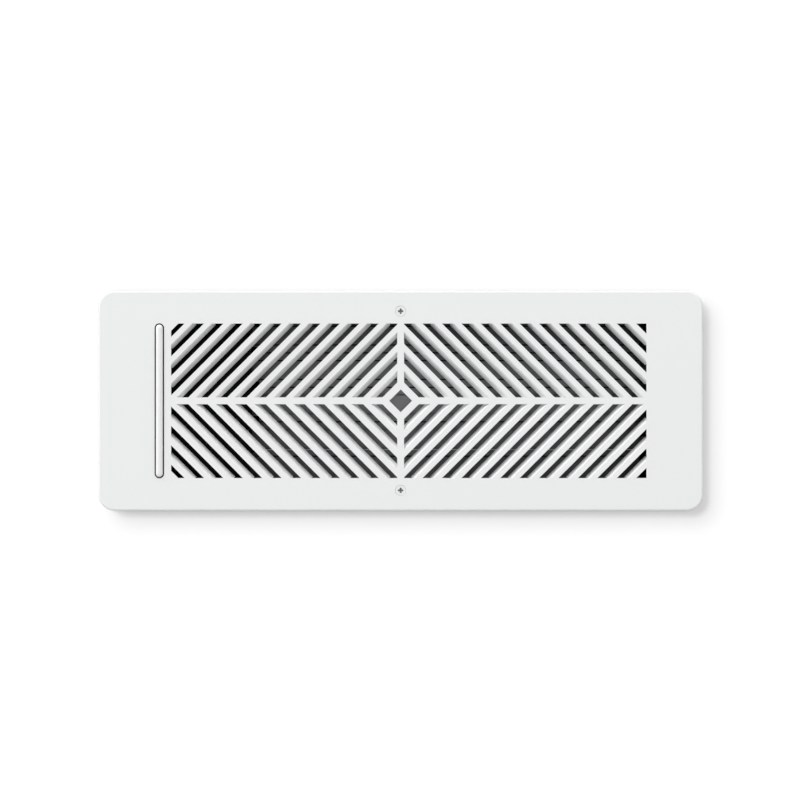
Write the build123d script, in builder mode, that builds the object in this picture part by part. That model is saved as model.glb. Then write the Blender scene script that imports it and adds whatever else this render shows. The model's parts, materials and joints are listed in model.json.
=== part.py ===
from build123d import *
import os
from math import acos, atan2, cos, degrees, pi, radians, sin, sqrt, tan

os.makedirs("parts", exist_ok=True)

# A motorised register for a nominal 4 x 12 inch duct, lying face up.
# X runs along the plate, Z points out of its face, and z = 0 is the plane the rim seats on.
# All sizes are in millimetres.

# Faceplate
plate_border_x = 32.8          # plate beyond the grille, left and right
plate_border_y = 19.0          # plate beyond the grille, above and below
plate_height = 7.0             # seating plane to face
plate_skin = 2.5
plate_rim = 2.2
plate_corner_radius = 9.5
plate_edge_round = 1.0

# Grille of concentric diamond vanes
grille_half_length = 143.2
grille_half_width = 45.0
vane_pitch = 8.0               # measured square to the vanes
vane_face = 3.17               # flat front of a vane
vane_slope = 2.3               # how far the side that faces the centre leans in
vane_rear = 1.5                # thickness at the rear edge
vane_depth = 4.0
vane_end_draft = 0.8           # vane ends draw back this far from the border at the rear
vane_root = 0.5                # how far vane ends run into the skin
lozenge_hole = 9.39            # side of the open square at the centre
lozenge_wall = 4.21
corner_web = 4.15              # sides of the flat webs in the two corners beside the light bar
spine_width = 4.0

# Light bar
slot_width = 5.25
slot_length = 90.0
slot_web = 4.25                # plate left between slot and grille
bar_clearance = 0.55
bar_proud = 1.3
bar_crown = 1.9                # radius of the crowned top
bar_top_flat = 0.1             # at least half the flat left on the crowned top
bar_flange_width = 8.0
bar_flange_length = 91.6
bar_flange_thickness = 1.5
seal_fit = 0.05                # between the seal and the slot, and between the seal and the bar
seal_recess = 0.4              # from the face down to the seal
led_count = 8
led_size = 2.2
led_height = 0.7
led_pitch = 10.8
led_board_width = 5.2
led_board_length = 86.0
led_board_thickness = 1.2
led_gap = 0.1                  # between diode and light bar

# Faceplate screws
face_screw_inset = 11.8        # from the plate's long edge to the screw's axis
face_screw_head_radius = 3.1
face_screw_shank_radius = 1.75
face_screw_tip_z = 0.4
screw_sunk = 0.1               # countersunk heads lie this far below their face
countersink_clearance = 0.2
recess_length = 3.1
recess_width = 1.1
recess_depth = 1.0
pan_recess_length = 2.4
pan_recess_width = 0.7
pan_recess_depth = 0.6

# Chassis
bay_margin_x = 2.3             # from grille border to chassis wall, along the plate
bay_margin_y = 1.0             # the same, across the plate
chassis_wall = 2.0
chassis_depth = 48.0           # below the seating plane
chassis_corner_radius = 4.0
flange_thickness = 2.0
flange_clearance = 0.4         # between flange edge and plate rim
support_post_radius = 3.5
support_post_inset = 14.0      # from the flange's ends and sides
face_boss_radius = 4.0
wall_hole_radius = 2.25
wall_hole_inset = 13.0         # from the plate's end to the hole's axis
compartment_length = 55.5
divider_wall = 2.0
floor_thickness = 2.0
thread_clearance = 0.02        # between a screw's shank and its moulded hole

# Compartment cover
cover_thickness = 1.6
cover_below_vanes = 6.0
cover_clearance = 0.2
cover_boss_radius = 3.5
cover_boss_height = 10.0
cover_boss_inset_x = 12.0
cover_boss_inset_y = 3.5
cover_screw_radius = 1.25
cover_screw_length = 8.0
cover_screw_head_radius = 2.3
cover_screw_head_height = 1.4

# Louvre blades
blade_count = 4
blade_pitch = 20.13
blade_top_reach = 7.9          # from the uppermost axis to the chassis wall
blade_top_clearance = 0.6
blade_thickness = 2.6
blade_lip_gap = 0.3            # between the lips of two closed blades
blade_panel_half = 5.5         # from the axis to the middle of the groove at a panel's edge
blade_lower_reach = 9.7        # from the axis to the end of the lower lip
blade_overlap = 1.9
blade_swing_clearance = 6.1
blade_end_gap = 1.1            # between blade and divider
blade_lip_setback = 4.4        # lips stop short of the panel at the left end
blade_groove = 0.8             # width of the grooves along a blade
blade_groove_floor = 0.4       # left under a groove in the upper lip
blade_panel_floor = 1.1        # left under a groove in the panel or the sill
blade_tube_radius = 1.9
axle_radius = 1.75
axle_collar_radius = 3.0
axle_collar_length = 0.8
axle_end_gap = 0.3
running_clearance = 0.08
driven_blade = 2               # counted from the top
sill_thickness = 3.0
sill_end_gap = 0.2
sill_ledge_width = 3.0
sill_ledge_thickness = 2.0

# Linkage at the right end of the blades
strip_thickness = 2.2
strip_half_width = 5.0
strip_end = 6.5                # strip beyond the outer axes
strip_corner_radius = 2.5
strip_screw_radius = 1.25
strip_screw_head_radius = 2.3
strip_screw_head_height = 1.2
link_space = 3.7               # between blade ends and bearing strip
tie_bar_thickness = 2.4
tie_bar_half_width = 2.4
tie_bar_end_gap = 0.6
crank_radius = 7.0
crank_angle = 40.0             # of the crank at rest, from straight back towards +Y
crank_pin_radius = 1.3
crank_pin_length = 3.3
crank_lug_radius = 2.4
crank_lug_thickness = 3.0

# Gear drive
gear_module = 0.7
sector_teeth = 36
pinion_teeth = 14
sector_teeth_before = 2        # teeth past the mesh at the closed end
sector_teeth_after = 10        # teeth that roll through the mesh as the blades open
pressure_angle = radians(20)
gear_backlash = 0.16
gear_dedendum = 1.25           # in modules
flank_points = 5
gear_width = 4.0
gear_divider_gap = 1.5
mesh_angle = -75.0             # from +Y, sector axis to pinion axis
sector_hub_radius = 4.2
shaft_flat = 0.45              # depth of the flat on a driving shaft
shaft_fit = 0.03

# Gearmotor
motor_width = 12.0
motor_height = 10.0
gearbox_length = 9.0
motor_length = 15.0
motor_shaft_radius = 1.5
motor_shaft_entry = 4.0
gearbox_gear_gap = 1.5
motor_edge_round = 1.0
bracket_thickness = 1.2
bracket_width = 5.0
bracket_foot = 6.0
bracket_clearance = 0.1
bracket_screw_radius = 1.0
bracket_screw_length = 6.0
bracket_screw_head_radius = 1.9
bracket_screw_head_height = 1.2
pedestal_length = 7.0
motor_rest_length = 4.0
motor_rest_width = 10.0

# Batteries, their contacts and their door
cell_radius = 13.1
cell_nub_radius = 3.0
cell_nub_height = 1.5
cell_edge_chamfer = 0.8
cell_gap = 0.8
cell_side_gap = 0.9            # between the lower cell and the chassis wall
cell_clearance = 0.1
cell_lift = 2.6                # from the compartment's floor to the lowest point of a cell
cell_end_space = 2.5           # between cell and chassis wall, for the contact
cell_far_space = 3.0           # between cell and divider, for the contact
contact_thickness = 0.5
contact_half_width = 7.0
contact_half_height = 6.0
contact_leaf_half = 5.0
contact_gap = 0.05
door_thickness = 1.5
door_clearance = 0.3
door_ledge_x = 2.0
door_ledge_top = 7.7           # floor between the cell opening and the door's upper edge
door_saddle_height = 6.5
door_saddle_length = 3.0
door_saddle_inset = 9.0
door_screw_radius = 1.25
door_screw_head_radius = 2.4
door_screw_length = 7.0
door_boss_radius = 3.0
door_boss_height = 4.5

# Circuit board
board_end_gap = 3.25           # between the board and the compartment's ends
board_width = 40.0
board_thickness = 1.6
board_drop = 5.0               # height of the posts under the cover
board_top_gap = 16.0           # from the driven blade's axis to the board's upper edge
board_post_radius = 2.5
board_post_inset = 3.5
board_screw_radius = 1.0
board_screw_length = 6.0
board_screw_head_radius = 1.9
board_screw_head_height = 1.3
radio_length = 20.0
radio_width = 16.0
radio_height = 2.4
radio_corner_radius = 1.0
capacitor_radius = 3.15
capacitor_height = 5.0
capacitor_offset = 12.0        # from the board's middle towards its left end
connector_length = 10.0
connector_width = 6.0
connector_height = 5.0
connector_offset = 12.0        # from the board's middle towards its right end

# Derived sizes and places
plate_length = 2 * (grille_half_length + plate_border_x)
plate_width = 2 * (grille_half_width + plate_border_y)
skin_z = plate_height - plate_skin
vane_rear_z = plate_height - vane_depth
slot_x = -grille_half_length + slot_width / 2
grille_left_x = -grille_half_length + slot_width + slot_web
grille_length = grille_half_length - grille_left_x
grille_center_x = (grille_half_length + grille_left_x) / 2
face_screw_y = plate_width / 2 - face_screw_inset

bay_half_length = grille_half_length + bay_margin_x
bay_half_width = grille_half_width + bay_margin_y
divider_left_x = -bay_half_length + compartment_length
divider_right_x = divider_left_x + divider_wall
compartment_x = -bay_half_length + compartment_length / 2
floor_z = -chassis_depth + door_thickness      # underside of the compartment's floor
floor_top_z = floor_z + floor_thickness
cover_top_z = vane_rear_z - cover_below_vanes
cover_z = cover_top_z - cover_thickness
cell_length = compartment_length - cell_end_space - cell_far_space
board_length = compartment_length - 2 * board_end_gap
flange_length = plate_length - 2 * (plate_rim + flange_clearance)
flange_width = plate_width - 2 * (plate_rim + flange_clearance)
flange_corner_radius = plate_corner_radius - plate_rim - flange_clearance

blade_left_x = divider_right_x + blade_end_gap
strip_x = bay_half_length - strip_thickness
blade_right_x = strip_x - link_space
blade_length = blade_right_x - blade_left_x
blade_upper_reach = blade_pitch - blade_lower_reach + blade_overlap
blade_lip = (blade_thickness - blade_lip_gap) / 2
blade_swing_radius = sqrt(blade_lower_reach ** 2 + blade_thickness ** 2)
blade_axis_z = vane_rear_z - blade_swing_radius - blade_swing_clearance
blade_axes_y = [bay_half_width - blade_top_reach - blade_pitch * step for step in range(blade_count)]
blade_middle_y = (blade_axes_y[0] + blade_axes_y[-1]) / 2
blade_span = blade_axes_y[0] - blade_axes_y[-1]
sill_top_z = blade_axis_z + blade_lip
sill_width = blade_axes_y[-1] - blade_lower_reach + blade_overlap + bay_half_width
crank_y = crank_radius * sin(radians(crank_angle))
crank_z = -crank_radius * cos(radians(crank_angle))

drive_y = blade_axes_y[driven_blade - 1]
gear_right_x = divider_left_x - gear_divider_gap
gear_left_x = gear_right_x - gear_width
gear_centres = gear_module * (sector_teeth + pinion_teeth) / 2
pinion_y = drive_y + gear_centres * cos(radians(mesh_angle))
pinion_z = blade_axis_z + gear_centres * sin(radians(mesh_angle))
gearbox_right_x = gear_left_x - gearbox_gear_gap
motor_right_x = gearbox_right_x - gearbox_length
motor_rest_z = pinion_z - motor_height / 2

above = (Align.CENTER, Align.CENTER, Align.MIN)
below = (Align.CENTER, Align.CENTER, Align.MAX)
face_down = Plane(origin=(0, 0, plate_height), x_dir=(1, 0, 0), z_dir=(0, 0, -1))


def end_plane(x, y, z):
    """A plane square to the blades, with Y to its right and Z up."""
    return Plane(origin=(x, y, z), x_dir=(0, 1, 0), z_dir=(1, 0, 0))


def pan_screw(shank_radius, shank_length, head_radius, head_height):
    """A pan-head screw with a cross recess, its head seated at the current location."""
    Cylinder(head_radius, head_height, align=above)
    Cylinder(shank_radius, shank_length, align=below)
    with Locations((0, 0, head_height)):
        cross_recess(pan_recess_length, pan_recess_width, pan_recess_depth)


def countersunk_screw(shank_radius, length, head_radius):
    """A countersunk screw with a cross recess, the top of its head at the current location."""
    Cone(shank_radius, head_radius, head_radius - shank_radius, align=below)
    Cylinder(shank_radius, length, align=below)
    cross_recess(recess_length, recess_width, recess_depth)


def cross_recess(length, width, depth):
    Box(length, width, depth, align=below, mode=Mode.SUBTRACT)
    Box(width, length, depth, align=below, mode=Mode.SUBTRACT)


# Space that the vanes fill: square to the face through the skin, then drawn back from the border
with BuildPart() as grille_space:
    with BuildSketch(face_down):
        with Locations((grille_center_x, 0)):
            Rectangle(grille_length + 2 * vane_root, 2 * (grille_half_width + vane_root))
    extrude(amount=plate_skin)
    with BuildSketch(face_down.offset(plate_skin)):
        with Locations((grille_center_x, 0)):
            Rectangle(grille_length, 2 * grille_half_width)
    extrude(amount=vane_depth - plate_skin, taper=degrees(atan2(vane_end_draft, vane_depth - plate_skin)))

# Vanes as nested pyramid rings, from the outermost in, then the spines, the centre lozenge and corner webs
lozenge_half = lozenge_hole / 2 + lozenge_wall
vane_reach = (grille_half_length + grille_half_width) / sqrt(2)
vane_count = int((vane_reach - lozenge_half + vane_face) / vane_pitch)
outer_lean = degrees(atan2(vane_face + vane_slope - vane_rear, vane_depth))
inner_lean = degrees(atan2(vane_slope, vane_depth))
with BuildPart() as grille:
    for ring in range(vane_count, 0, -1):
        outer_side = 2 * (lozenge_half + ring * vane_pitch)
        inner_side = outer_side - 2 * vane_face
        with BuildSketch(face_down):
            Rectangle(outer_side, outer_side, rotation=45)
        extrude(amount=vane_depth, taper=outer_lean)
        with BuildSketch(face_down):
            Rectangle(inner_side, inner_side, rotation=45)
        extrude(amount=vane_depth, taper=inner_lean, mode=Mode.SUBTRACT)
    with BuildSketch(face_down):
        Rectangle(2 * vane_reach * sqrt(2), spine_width)
        Rectangle(spine_width, 2 * vane_reach * sqrt(2))
        Rectangle(2 * lozenge_half, 2 * lozenge_half, rotation=45)
        Rectangle(lozenge_hole, lozenge_hole, rotation=45, mode=Mode.SUBTRACT)
    extrude(amount=vane_depth)
    with BuildSketch(face_down):
        with Locations((grille_left_x, grille_half_width), (grille_left_x, -grille_half_width)):
            Rectangle(corner_web * sqrt(2), corner_web * sqrt(2), rotation=45)
    extrude(amount=plate_skin)
    add(grille_space.part, mode=Mode.INTERSECT)

# Faceplate: a shallow cast pan whose skin carries the grille, the light bar's slot and two countersinks
with BuildPart() as faceplate:
    with BuildSketch():
        RectangleRounded(plate_length, plate_width, plate_corner_radius)
    extrude(amount=plate_height)
    fillet(faceplate.edges().group_by(Axis.Z)[-1], plate_edge_round)
    with BuildSketch():
        RectangleRounded(plate_length - 2 * plate_rim, plate_width - 2 * plate_rim,
                         plate_corner_radius - plate_rim)
    extrude(amount=skin_z, mode=Mode.SUBTRACT)
    with BuildSketch(Plane.XY.offset(skin_z)):
        with Locations((grille_center_x, 0)):
            Rectangle(grille_length, 2 * grille_half_width)
        with Locations((slot_x, 0)):
            SlotOverall(slot_length, slot_width, rotation=90)
    extrude(amount=plate_skin, mode=Mode.SUBTRACT)
    with Locations((0, face_screw_y, plate_height), (0, -face_screw_y, plate_height)):
        CounterSinkHole(face_screw_shank_radius + countersink_clearance,
                        face_screw_head_radius + countersink_clearance,
                        depth=plate_skin, counter_sink_angle=90)
    add(grille.part)
faceplate.part.label = "faceplate"
export_step(faceplate.part, "parts/faceplate.step")

with BuildPart() as faceplate_screws:
    head_top_z = plate_height - screw_sunk
    with Locations((0, face_screw_y, head_top_z), (0, -face_screw_y, head_top_z)):
        countersunk_screw(face_screw_shank_radius, head_top_z - face_screw_tip_z, face_screw_head_radius)
faceplate_screws.part.label = "faceplate_screws"
export_step(faceplate_screws.part, "parts/faceplate_screws.step")

# Light bar: a crowned light pipe that fills the slot, with a flange against the skin's underside
with BuildPart() as light_bar:
    bar_flange_z = skin_z - bar_flange_thickness
    with BuildSketch(Plane.XY.offset(bar_flange_z)):
        with Locations((slot_x, 0)):
            SlotOverall(slot_length - 2 * bar_clearance, slot_width - 2 * bar_clearance, rotation=90)
    extrude(amount=plate_height + bar_proud - bar_flange_z)
    fillet(light_bar.edges().group_by(Axis.Z)[-1],
           min(bar_crown, slot_width / 2 - bar_clearance - bar_top_flat))
    with BuildSketch(Plane.XY.offset(bar_flange_z)):
        with Locations((slot_x, 0)):
            Rectangle(bar_flange_width, bar_flange_length)
    extrude(amount=bar_flange_thickness)
light_bar.part.label = "light_bar"
export_step(light_bar.part, "parts/light_bar.step")

# Seal in the gap between the light bar and its slot, seated on the bar's flange
with BuildPart() as light_bar_seal:
    seal_inset = bar_clearance - seal_fit
    with BuildSketch(Plane.XY.offset(skin_z)):
        with Locations((slot_x, 0)):
            SlotOverall(slot_length - 2 * seal_fit, slot_width - 2 * seal_fit, rotation=90)
            SlotOverall(slot_length - 2 * seal_inset, slot_width - 2 * seal_inset, rotation=90,
                        mode=Mode.SUBTRACT)
    extrude(amount=plate_skin - seal_recess)
light_bar_seal.part.label = "light_bar_seal"
export_step(light_bar_seal.part, "parts/light_bar_seal.step")

# Diodes on their board, just under the light bar
led_top_z = bar_flange_z - led_gap
led_board_top_z = led_top_z - led_height
rail_top_z = led_board_top_z - led_board_thickness
with BuildPart() as led_board:
    with BuildSketch(Plane.XY.offset(rail_top_z)):
        with Locations((slot_x, 0)):
            Rectangle(led_board_width, led_board_length)
    extrude(amount=led_board_thickness)
led_board.part.label = "led_board"
export_step(led_board.part, "parts/led_board.step")

with BuildPart() as leds:
    with BuildSketch(Plane.XY.offset(led_board_top_z)):
        with Locations((slot_x, 0)):
            with GridLocations(led_pitch, led_pitch, 1, led_count):
                Rectangle(led_size, led_size)
    extrude(amount=led_height)
leds.part.label = "leds"
export_step(leds.part, "parts/leds.step")

# Chassis: one moulding with the flange, the blade bay, the closed compartment and the sill's ledge
cells_y = [-bay_half_width + cell_side_gap + cell_radius]
cells_y.append(cells_y[0] + 2 * cell_radius + cell_gap)
cell_z = floor_z + cell_lift + cell_radius
cell_opening_top_y = cells_y[1] + cell_radius + cell_clearance
cell_opening_bottom_y = cells_y[0] - cell_radius - cell_clearance
door_top_y = cell_opening_top_y + door_ledge_top
door_screw_y = (cell_opening_top_y + door_top_y) / 2
cover_boss_x = [-bay_half_length + cover_boss_inset_x, divider_left_x - cover_boss_inset_x]
cover_boss_y = bay_half_width - cover_boss_inset_y
cover_bosses = [(x, y) for x in cover_boss_x for y in (cover_boss_y, -cover_boss_y)]
strip_screws_y = [blade_axes_y[0] - blade_pitch / 2, blade_axes_y[-1] + blade_pitch / 2]
wall_hole_x = plate_length / 2 - wall_hole_inset
bracket_x = gearbox_right_x - gearbox_length / 2
bracket_screw_offset = motor_width / 2 + bracket_clearance + bracket_thickness + bracket_foot / 2
pedestal_width = motor_width + 2 * (bracket_clearance + bracket_thickness + bracket_foot)
with BuildPart() as chassis:
    with BuildSketch(Plane.XY.offset(-chassis_depth)):
        RectangleRounded(2 * (bay_half_length + chassis_wall), 2 * (bay_half_width + chassis_wall),
                         chassis_corner_radius)
    extrude(amount=chassis_depth + flange_thickness)
    with BuildSketch():
        RectangleRounded(flange_length, flange_width, flange_corner_radius)
    extrude(amount=flange_thickness)
    # Posts that carry the plate's skin, and the bosses for its screws
    with BuildSketch(Plane.XY.offset(flange_thickness)):
        with GridLocations(flange_length - 2 * support_post_inset,
                           flange_width - 2 * support_post_inset, 2, 2):
            Circle(support_post_radius)
        with Locations((0, face_screw_y), (0, -face_screw_y)):
            Circle(face_boss_radius)
    extrude(amount=skin_z - flange_thickness)
    # Blade bay, open from front to back, and the compartment with its floor
    with BuildSketch(Plane.XY.offset(-chassis_depth)):
        with Locations(((divider_right_x + bay_half_length) / 2, 0)):
            Rectangle(bay_half_length - divider_right_x, 2 * bay_half_width)
    extrude(amount=chassis_depth + plate_height, mode=Mode.SUBTRACT)
    with BuildSketch(Plane.XY.offset(floor_top_z)):
        with Locations((compartment_x, 0)):
            Rectangle(compartment_length, 2 * bay_half_width)
    extrude(amount=plate_height - floor_top_z, mode=Mode.SUBTRACT)
    with BuildSketch(Plane.XY.offset(cover_z)):
        with Locations((divider_left_x, 0)):
            Rectangle(2 * divider_wall, 2 * bay_half_width)
    extrude(amount=plate_height - cover_z, mode=Mode.SUBTRACT)
    # Recess and opening for the battery door
    with BuildSketch(Plane.XY.offset(-chassis_depth)):
        with Locations((compartment_x, (door_top_y + door_clearance - bay_half_width) / 2)):
            Rectangle(compartment_length, door_top_y + door_clearance + bay_half_width)
    extrude(amount=door_thickness, mode=Mode.SUBTRACT)
    with BuildSketch(Plane.XY.offset(floor_z)):
        with Locations((compartment_x, (cell_opening_top_y + cell_opening_bottom_y) / 2)):
            Rectangle(compartment_length - 2 * door_ledge_x, cell_opening_top_y - cell_opening_bottom_y)
    extrude(amount=floor_thickness, mode=Mode.SUBTRACT)
    # Bosses inside the compartment: cover screws, door screw, motor pedestal and motor rest
    with BuildSketch(Plane.XY.offset(cover_z - cover_boss_height)):
        with Locations(*cover_bosses):
            Rectangle(2 * cover_boss_radius, 2 * cover_boss_inset_y)
    extrude(amount=cover_boss_height)
    with BuildSketch(Plane.XY.offset(floor_top_z)):
        with Locations((compartment_x, door_screw_y)):
            Circle(door_boss_radius)
    extrude(amount=door_boss_height)
    with BuildSketch(Plane.XY.offset(floor_top_z)):
        with Locations((bracket_x, pinion_y)):
            Rectangle(pedestal_length, pedestal_width)
        with Locations((motor_right_x - motor_length + motor_rest_length / 2, pinion_y)):
            Rectangle(motor_rest_length, motor_rest_width)
    extrude(amount=motor_rest_z - floor_top_z)
    # Ledge along the bay's lower wall, for the sill
    with BuildSketch(end_plane(divider_right_x, -bay_half_width, sill_top_z - sill_thickness)):
        Rectangle(sill_ledge_width, sill_ledge_thickness, align=(Align.MIN, Align.MAX))
    extrude(amount=blade_right_x - divider_right_x)
    # Holes: blade axles, bearing strip screws, plate screws, wall screws, cover, door and bracket screws
    with BuildSketch(end_plane(divider_left_x, 0, blade_axis_z)):
        with Locations(*[(y, 0) for y in blade_axes_y]):
            Circle(axle_radius + running_clearance)
    extrude(amount=divider_wall, mode=Mode.SUBTRACT)
    with BuildSketch(end_plane(bay_half_length, 0, blade_axis_z)):
        with Locations(*[(y, 0) for y in strip_screws_y]):
            Circle(strip_screw_radius + thread_clearance)
    extrude(amount=chassis_wall, mode=Mode.SUBTRACT)
    with Locations((0, face_screw_y, skin_z), (0, -face_screw_y, skin_z)):
        Hole(face_screw_shank_radius + thread_clearance, depth=skin_z)
    with Locations((wall_hole_x, 0, flange_thickness), (-wall_hole_x, 0, flange_thickness)):
        Hole(wall_hole_radius, depth=flange_thickness)
    with Locations(*[(x, y, cover_z) for x, y in cover_bosses]):
        Hole(cover_screw_radius + thread_clearance, depth=cover_boss_height)
    with Locations((compartment_x, door_screw_y, floor_top_z + door_boss_height)):
        Hole(door_screw_radius + thread_clearance, depth=door_boss_height + floor_thickness)
    with Locations((bracket_x, pinion_y + bracket_screw_offset, motor_rest_z),
                   (bracket_x, pinion_y - bracket_screw_offset, motor_rest_z)):
        Hole(bracket_screw_radius + thread_clearance, depth=bracket_screw_length)
chassis.part.label = "chassis"
export_step(chassis.part, "parts/chassis.step")

# Compartment cover with the rail for the diode board and the posts for the circuit board
cover_length = compartment_length + divider_wall - cover_clearance
board_top_y = drive_y - board_top_gap
board_y = board_top_y - board_width / 2
board_top_z = cover_z - board_drop
board_post_span_x = board_length - 2 * board_post_inset
board_post_span_y = board_width - 2 * board_post_inset
with BuildPart() as compartment_cover:
    with BuildSketch(Plane.XY.offset(cover_z)):
        with Locations((divider_right_x - cover_length / 2, 0)):
            Rectangle(cover_length, 2 * (bay_half_width - cover_clearance))
    extrude(amount=cover_thickness)
    with BuildSketch(Plane.XY.offset(cover_top_z)):
        with Locations((slot_x, 0)):
            Rectangle(led_board_width, led_board_length)
    extrude(amount=rail_top_z - cover_top_z)
    with BuildSketch(Plane.XY.offset(board_top_z)):
        with Locations((compartment_x, board_y)):
            with GridLocations(board_post_span_x, board_post_span_y, 2, 2):
                Circle(board_post_radius)
                Circle(board_screw_radius + thread_clearance, mode=Mode.SUBTRACT)
    extrude(amount=board_drop)
    with Locations(*[(x, y, cover_top_z) for x, y in cover_bosses]):
        Hole(cover_screw_radius + running_clearance, depth=cover_thickness)
compartment_cover.part.label = "compartment_cover"
export_step(compartment_cover.part, "parts/compartment_cover.step")

with BuildPart() as cover_screws:
    with Locations(*[(x, y, cover_top_z) for x, y in cover_bosses]):
        pan_screw(cover_screw_radius, cover_screw_length, cover_screw_head_radius, cover_screw_head_height)
cover_screws.part.label = "cover_screws"
export_step(cover_screws.part, "parts/cover_screws.step")

# Sill that the lowest blade closes against, bonded to its ledge and to the bay's lower wall
with BuildPart() as blade_sill:
    with BuildSketch(end_plane(divider_right_x + sill_end_gap, -bay_half_width, sill_top_z)):
        Rectangle(sill_width, sill_thickness, align=(Align.MIN, Align.MAX))
        with Locations((sill_width - blade_overlap, 0)):
            Rectangle(blade_groove, sill_thickness - blade_panel_floor, align=(Align.MAX, Align.MAX),
                      mode=Mode.SUBTRACT)
    extrude(amount=blade_right_x - divider_right_x - sill_end_gap)
blade_sill.part.label = "blade_sill"
export_step(blade_sill.part, "parts/blade_sill.step")

# Louvre blades: shiplapped panels on end axles, each with a crank at its right end
for number, axis_y in enumerate(blade_axes_y, start=1):
    is_driven = number == driven_blade
    upper_reach = blade_upper_reach
    if number == 1:
        upper_reach = blade_top_reach - blade_top_clearance
    shaft_end_x = gear_left_x if is_driven else divider_left_x
    left_end = end_plane(blade_left_x, axis_y, blade_axis_z)
    right_end = left_end.offset(blade_length)
    with BuildPart() as louver_blade:
        with BuildSketch(left_end):
            with Locations((-blade_groove, blade_thickness / 2)):
                Rectangle(2 * blade_panel_half + blade_groove, blade_thickness)
            Circle(blade_tube_radius)
        extrude(amount=blade_length)
        with BuildSketch(left_end.offset(blade_lip_setback)):
            Rectangle(upper_reach, blade_lip, align=(Align.MIN, Align.MIN))
            with Locations((0, blade_thickness)):
                Rectangle(blade_lower_reach, blade_lip, align=(Align.MAX, Align.MAX))
        extrude(amount=blade_length - blade_lip_setback)
        # Grooves: inside the panel's lower edge, beside its upper edge, and where the next blade's lip ends
        lip_grooves = [blade_panel_half, blade_upper_reach - blade_overlap - blade_groove / 2]
        with BuildSketch(left_end):
            with Locations((-blade_panel_half, blade_panel_floor)):
                Rectangle(blade_groove, blade_thickness, align=(Align.CENTER, Align.MIN))
            with Locations(*[(y, blade_groove_floor) for y in lip_grooves if y + blade_groove < upper_reach]):
                Rectangle(blade_groove, blade_lip, align=(Align.CENTER, Align.MIN))
        extrude(amount=blade_length, mode=Mode.SUBTRACT)
        with BuildSketch(right_end):
            with Locations((crank_y / 2, crank_z / 2)):
                SlotCenterToCenter(crank_radius, 2 * crank_lug_radius,
                                   rotation=degrees(atan2(crank_z, crank_y)))
            with Locations((0, blade_thickness / 2)):
                Rectangle(2 * crank_lug_radius, crank_lug_radius, align=(Align.CENTER, Align.MIN),
                          mode=Mode.SUBTRACT)
        extrude(amount=-crank_lug_thickness)
        with BuildSketch(right_end):
            with Locations((crank_y, crank_z)):
                Circle(crank_pin_radius)
        extrude(amount=crank_pin_length)
        with BuildSketch(right_end):
            Circle(axle_radius)
        extrude(amount=bay_half_length - axle_end_gap - blade_right_x)
        with BuildSketch(left_end):
            Circle(axle_radius)
        extrude(amount=shaft_end_x - blade_left_x)
        with BuildSketch(left_end):
            Circle(axle_collar_radius)
            with Locations((0, blade_thickness / 2)):
                Rectangle(2 * axle_collar_radius, axle_collar_radius, align=(Align.CENTER, Align.MIN),
                          mode=Mode.SUBTRACT)
            Circle(axle_radius)
        extrude(amount=-axle_collar_length)
        if is_driven:
            with BuildSketch(end_plane(gear_left_x, axis_y, blade_axis_z)):
                with Locations((0, axle_radius - shaft_flat)):
                    Rectangle(2 * axle_radius, axle_radius, align=(Align.CENTER, Align.MIN))
            extrude(amount=gear_width, mode=Mode.SUBTRACT)
    louver_blade.part.label = f"louver_blade_{number}"
    export_step(louver_blade.part, f"parts/louver_blade_{number}.step")

# Bearing strip for the right-hand axles, screwed to the chassis wall from outside
with BuildPart() as bearing_strip:
    with BuildSketch(end_plane(strip_x, blade_middle_y, blade_axis_z)):
        RectangleRounded(blade_span + 2 * strip_end, 2 * strip_half_width, strip_corner_radius)
        with Locations(*[(y - blade_middle_y, 0) for y in blade_axes_y]):
            Circle(axle_radius + running_clearance, mode=Mode.SUBTRACT)
        with Locations(*[(y - blade_middle_y, 0) for y in strip_screws_y]):
            Circle(strip_screw_radius + thread_clearance, mode=Mode.SUBTRACT)
    extrude(amount=strip_thickness)
bearing_strip.part.label = "bearing_strip"
export_step(bearing_strip.part, "parts/bearing_strip.step")

with BuildPart(end_plane(bay_half_length + chassis_wall, 0, blade_axis_z)) as bearing_strip_screws:
    with Locations(*[(y, 0) for y in strip_screws_y]):
        pan_screw(strip_screw_radius, chassis_wall + strip_thickness, strip_screw_head_radius,
                  strip_screw_head_height)
bearing_strip_screws.part.label = "bearing_strip_screws"
export_step(bearing_strip_screws.part, "parts/bearing_strip_screws.step")

# Tie bar that links the four crank pins
with BuildPart() as tie_bar:
    with BuildSketch(end_plane(blade_right_x + tie_bar_end_gap, crank_y + blade_middle_y,
                               blade_axis_z + crank_z)):
        SlotCenterToCenter(blade_span, 2 * tie_bar_half_width)
        with Locations(*[(y - blade_middle_y, 0) for y in blade_axes_y]):
            Circle(crank_pin_radius + running_clearance, mode=Mode.SUBTRACT)
    extrude(amount=tie_bar_thickness)
tie_bar.part.label = "tie_bar"
export_step(tie_bar.part, "parts/tie_bar.step")


def involute(angle):
    return tan(angle) - angle


def tooth(teeth):
    """Corners of one tooth along +X: involute flanks from the base circle to the tip."""
    pitch_radius = gear_module * teeth / 2
    base_radius = pitch_radius * cos(pressure_angle)
    root_radius = pitch_radius - gear_dedendum * gear_module
    tip_radius = pitch_radius + gear_module
    flank = []
    for step in range(flank_points):
        radius = base_radius + (tip_radius - base_radius) * step / (flank_points - 1)
        half = pi / (2 * teeth) - gear_backlash / (4 * pitch_radius)
        half += involute(pressure_angle) - involute(acos(base_radius / radius))
        flank.append((radius * cos(half), radius * sin(half)))
    foot = atan2(flank[0][1], flank[0][0])
    buried = root_radius - gear_backlash
    flank.insert(0, (buried * cos(foot), buried * sin(foot)))
    return [(x, -y) for x, y in flank] + flank[::-1]


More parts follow.
